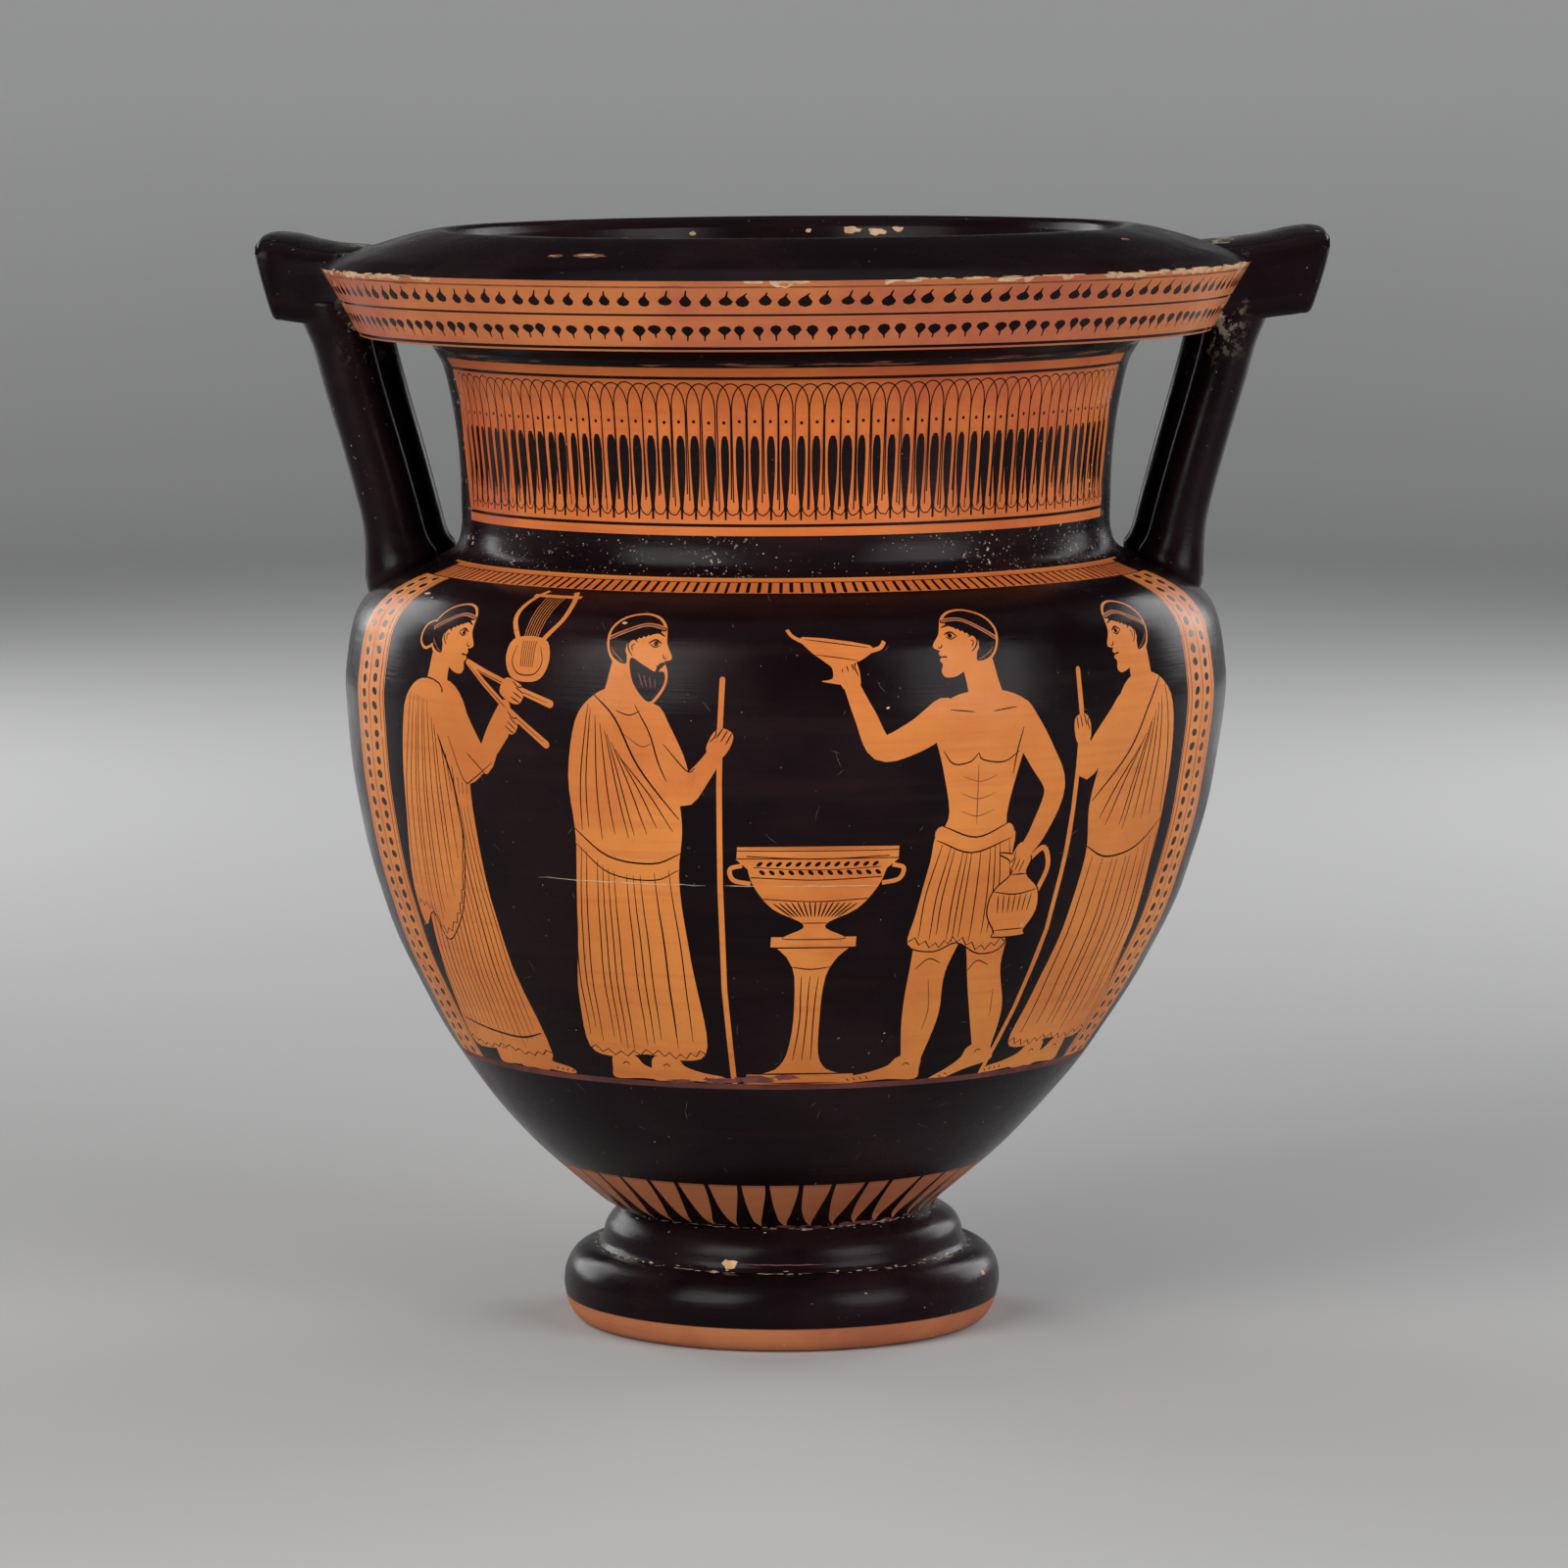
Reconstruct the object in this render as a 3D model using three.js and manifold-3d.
// Attic column-krater: a wheel-thrown mixing bowl with two column handles.
// Millimetres, +Z up, front panel towards -Y. It stands on z = 0.
import * as THREE from 'three';
import { mergeVertices } from 'three/addons/utils/BufferGeometryUtils.js';
import Module from 'manifold-3d';

const wasm = await Module();
wasm.setup();

// ---- named sizes ----
const SIDES = 54;                 // facets round the body
const COLUMN_SIDES = 14;          // facets round a handle column
const PLATE_HALF_WIDTH = 36;      // half width of a handle plate, across
const WELD = 1e-3;                // points closer than this are one

// ---- profile of the pot: [radius, height] ----
// Each list is one smooth curve; corners fall between lists.
const FOOT_UNDERSIDE = [[0, 35.5], [34, 34.5], [50, 31], [56, 24], [59.5, 12], [61.5, 0]];
const RESTING_RING = [[61.5, 0], [73, 0]];
const FOOT_TORUS = [[73, 0], [76.6, 1.4], [79.4, 5.4], [80.9, 11], [81.2, 15], [80.4, 20],
  [77.6, 24.7], [73.4, 27.3], [68.8, 27.9]];
const FOOT_UPPER_RING = [[68.8, 27.9], [67.3, 30], [66.4, 34.5], [64.6, 37.8], [62, 40.2],
  [58.8, 42.3]];
const BODY = [[58.8, 42.3], [73.6, 55], [87.6, 67.5], [102.3, 83.5], [117.6, 103.5],
  [132.7, 128.5], [145, 153.5], [153.3, 178.5], [158.9, 203.5], [162.5, 233.5],
  [162.2, 247], [159, 264], [152.4, 273.4], [142.6, 279.4], [132, 283.4], [125, 286.4],
  [121.5, 289.6], [119.9, 294.5], [119.6, 302], [120.9, 328.5], [125.4, 353.5], [130, 363]];
const LIP_UNDERSIDE = [[130, 363], [137, 369], [147, 370], [156.5, 367.5]];
const LIP_FACE = [[156.5, 367.5], [158.5, 370.5], [164.6, 381.5], [171, 392.5]];
const LIP_TOP = [[171, 392.5], [164, 396.1], [155, 399], [147, 401.5], [140, 403.5],
  [133, 405.1], [128, 405.7], [124.8, 404.7], [123.2, 401.7]];
const INSIDE = [[123.2, 401.7], [119.8, 372], [114, 337], [112.9, 306], [114.5, 290],
  [124.5, 280.5], [137, 274.8], [147, 266.5], [153.6, 252], [156.2, 233.5], [152.5, 204.5],
  [146.8, 180], [138.6, 156], [126.9, 132], [112.4, 108.5], [90, 80.5], [70, 62], [48, 50.8],
  [25, 47.6], [0, 46.8]];

// ---- sideways drift of the centre with height, as thrown: [height, drift] ----
const DRIFT = [[0, -4], [38, -3.2], [47, -8.2], [76, -8], [106, -6.8], [136, -5.4],
  [166, -4], [202, -3], [236, -2.2], [420, -2.2]];

// ---- the rim is a little higher on the right: rise per mm, and where the tilt sets in ----
const TILT = { slope: 0.0075, from: 190, to: 360 };

// ---- one column of a handle: [height, distance from axis, half spacing, radius, slope] ----
// The lowest rings slope with the shoulder, so the root stays inside the wall.
const COLUMN = [[276.5, 140, 21, 11.4, 0.5], [281.5, 140.6, 21, 12.2, 0.45],
  [287, 141.7, 21.1, 11.2, 0.3], [293, 142.7, 21.3, 10.6, 0.12], [302, 144.5, 21.6, 10.4, 0],
  [322, 149.8, 22.2, 10.3, 0], [345, 156.4, 22.8, 10.3, 0], [362, 161, 23, 10.4, 0],
  [371, 163.6, 23.2, 11.4, 0], [380, 166, 23.2, 11.4, 0]];

// ---- a handle plate along its length: [distance, top, underside, half width share] ----
const PLATE = [[146, 397.1, 374, 0.97], [156, 399.4, 370.4, 0.97], [166, 400.2, 370.6, 0.96],
  [176, 401.8, 372, 0.97], [184, 403.7, 373, 0.98], [188, 404.3, 374, 0.99],
  [190.6, 404.5, 380, 1], [193.6, 404, 390, 1], [195.2, 402, 396.6, 1]];
const PLATE_ROWS = 6;             // divisions across the plate
const PLATE_CROWN = 3.2;          // the plate's top falls this much to its side edges,
const CROWN_SHARE = 0.4;          // but never by more than this share of its thickness
const PLATE_BOW = { depth: 3, from: 170, to: 195 };   // its outer edge bows outwards
const PLATE_BULGE = 1.01;         // its sides swell a little at mid height

// ---- the two handles differ a little: degrees behind the side line, how much further
// the plate reaches, and how thick the columns are ----
const RIGHT = { backset: 5, reach: 4, thickness: 0.97 };
const LEFT = { backset: 7, reach: -0.8, thickness: 1.07 };
const REACH_FROM = 165;           // the plate is drawn out between these distances
const REACH_TO = 188;

function points(knots) {
  return knots.map(([r, z]) => new THREE.Vector2(r, z));
}

function tableValue(table, z) {
  for (let i = 1; i < table.length; i++) {
    const [z0, v0] = table[i - 1];
    const [z1, v1] = table[i];
    if (z <= z1) {
      const t = THREE.MathUtils.smoothstep(z, z0, z1);
      return v0 + (v1 - v0) * t;
    }
  }
  return table[table.length - 1][1];
}

// The hand-made irregularity: the body drifts sideways and the rim tilts.
function handMade(x, y, z) {
  const tilt = TILT.slope * THREE.MathUtils.smoothstep(z, TILT.from, TILT.to);
  return [x + tableValue(DRIFT, z), y, z + x * tilt];
}

function solidFrom(positions, triangles) {
  const mesh = new wasm.Mesh({
    numProp: 3,
    vertProperties: new Float32Array(positions),
    triVerts: new Uint32Array(triangles),
  });
  return new wasm.Manifold(mesh);
}

function latheSolid(profile, sides) {
  const lathe = new THREE.LatheGeometry(profile, sides);
  lathe.rotateX(Math.PI / 2);
  lathe.deleteAttribute('normal');
  lathe.deleteAttribute('uv');
  const merged = mergeVertices(lathe, WELD);
  const index = [];
  for (let i = 0; i < merged.index.count; i += 3) {
    const [a, b, c] = [0, 1, 2].map((k) => merged.index.getX(i + k));
    if (a !== b && b !== c && a !== c) {
      index.push(a, b, c);
    }
  }
  return solidFrom(merged.attributes.position.array, index);
}

// A closed skin over stacked rings of equal length, capped with a fan at both ends.
function ringsSolid(rings) {
  const n = rings[0].length;
  const positions = rings.flat(2);
  const triangles = [];
  for (let k = 0; k + 1 < rings.length; k++) {
    for (let i = 0; i < n; i++) {
      const j = (i + 1) % n;
      const a = k * n + i;
      const b = k * n + j;
      triangles.push(a, b, b + n, a, b + n, a + n);
    }
  }
  const middle = (ring) => [0, 1, 2].map((c) => ring.reduce((s, p) => s + p[c], 0) / n);
  for (const [k, flip] of [[0, true], [rings.length - 1, false]]) {
    const centre = positions.length / 3;
    positions.push(...middle(rings[k]));
    for (let i = 0; i < n; i++) {
      const a = k * n + i;
      const b = k * n + (i + 1) % n;
      triangles.push(...(flip ? [centre, b, a] : [centre, a, b]));
    }
  }
  return solidFrom(positions, triangles);
}

function columnSolid(side, thickness) {
  const rings = COLUMN.map(([z, distance, spacing, thick, slope]) => {
    const radius = thick * thickness;
    const ring = [];
    for (let i = 0; i < COLUMN_SIDES; i++) {
      const a = (i / COLUMN_SIDES) * 2 * Math.PI;
      const out = radius * Math.cos(a);
      ring.push([distance + out, side * spacing + radius * Math.sin(a), z - slope * out]);
    }
    return ring;
  });
  return ringsSolid(rings);
}

// The plate is a row of upright cross-sections marching outwards from the rim.
function plateSolid(reach) {
  const rings = PLATE.map(([place, top, under, share]) => {
    const drawn = reach * THREE.MathUtils.smoothstep(place, REACH_FROM, REACH_TO);
    const distance = place + drawn;
    const half = PLATE_HALF_WIDTH * share;
    const bulge = half * PLATE_BULGE;
    const bow = PLATE_BOW.depth
      * THREE.MathUtils.smoothstep(distance, PLATE_BOW.from, PLATE_BOW.to);
    const crown = Math.min(PLATE_CROWN, (top - under) * CROWN_SHARE);
    const middle = (under + top - crown) / 2;
    const ring = [];
    for (let i = 0; i <= PLATE_ROWS; i++) {
      const t = -1 + (2 * i) / PLATE_ROWS;
      ring.push([distance - bow * t * t, half * t, under]);
    }
    ring.push([distance - bow, bulge, middle]);
    for (let i = PLATE_ROWS; i >= 0; i--) {
      const t = -1 + (2 * i) / PLATE_ROWS;
      ring.push([distance - bow * t * t, half * t, top - crown * t * t]);
    }
    ring.push([distance - bow, -bulge, middle]);
    return ring;
  });
  return ringsSolid(rings);
}

function handleSolid({ reach, thickness }) {
  return plateSolid(reach).add(columnSolid(1, thickness)).add(columnSolid(-1, thickness));
}

function buildPot() {
  const profile = points(FOOT_UNDERSIDE);
  const rest = [RESTING_RING, FOOT_TORUS, FOOT_UPPER_RING, BODY, LIP_UNDERSIDE, LIP_FACE,
    LIP_TOP, INSIDE];
  for (const knots of rest) {
    profile.push(...points(knots).slice(1));
  }
  return latheSolid(profile, SIDES);
}

function meshGeometry(solid) {
  const mesh = solid.getMesh();
  const count = mesh.numProp;
  const position = new Float32Array((mesh.vertProperties.length / count) * 3);
  for (let i = 0; i < position.length / 3; i++) {
    const [x, y, z] = [0, 1, 2].map((k) => mesh.vertProperties[i * count + k]);
    position.set(handMade(x, y, z), i * 3);
  }
  const geometry = new THREE.BufferGeometry();
  geometry.setAttribute('position', new THREE.BufferAttribute(position, 3));
  geometry.setIndex(new THREE.BufferAttribute(mesh.triVerts.slice(), 1));
  geometry.computeVertexNormals();
  return geometry;
}

const right = handleSolid(RIGHT).rotate([0, 0, RIGHT.backset]);
const left = handleSolid(LEFT).rotate([0, 0, 180 - LEFT.backset]);
const whole = buildPot().add(right).add(left);

const slip = new THREE.MeshStandardMaterial({ color: 0x1c1312, roughness: 0.35 });
const krater = new THREE.Mesh(meshGeometry(whole), slip);
krater.name = 'krater';

const root = new THREE.Group();
root.name = 'greek_krater';
root.add(krater);

export default root;
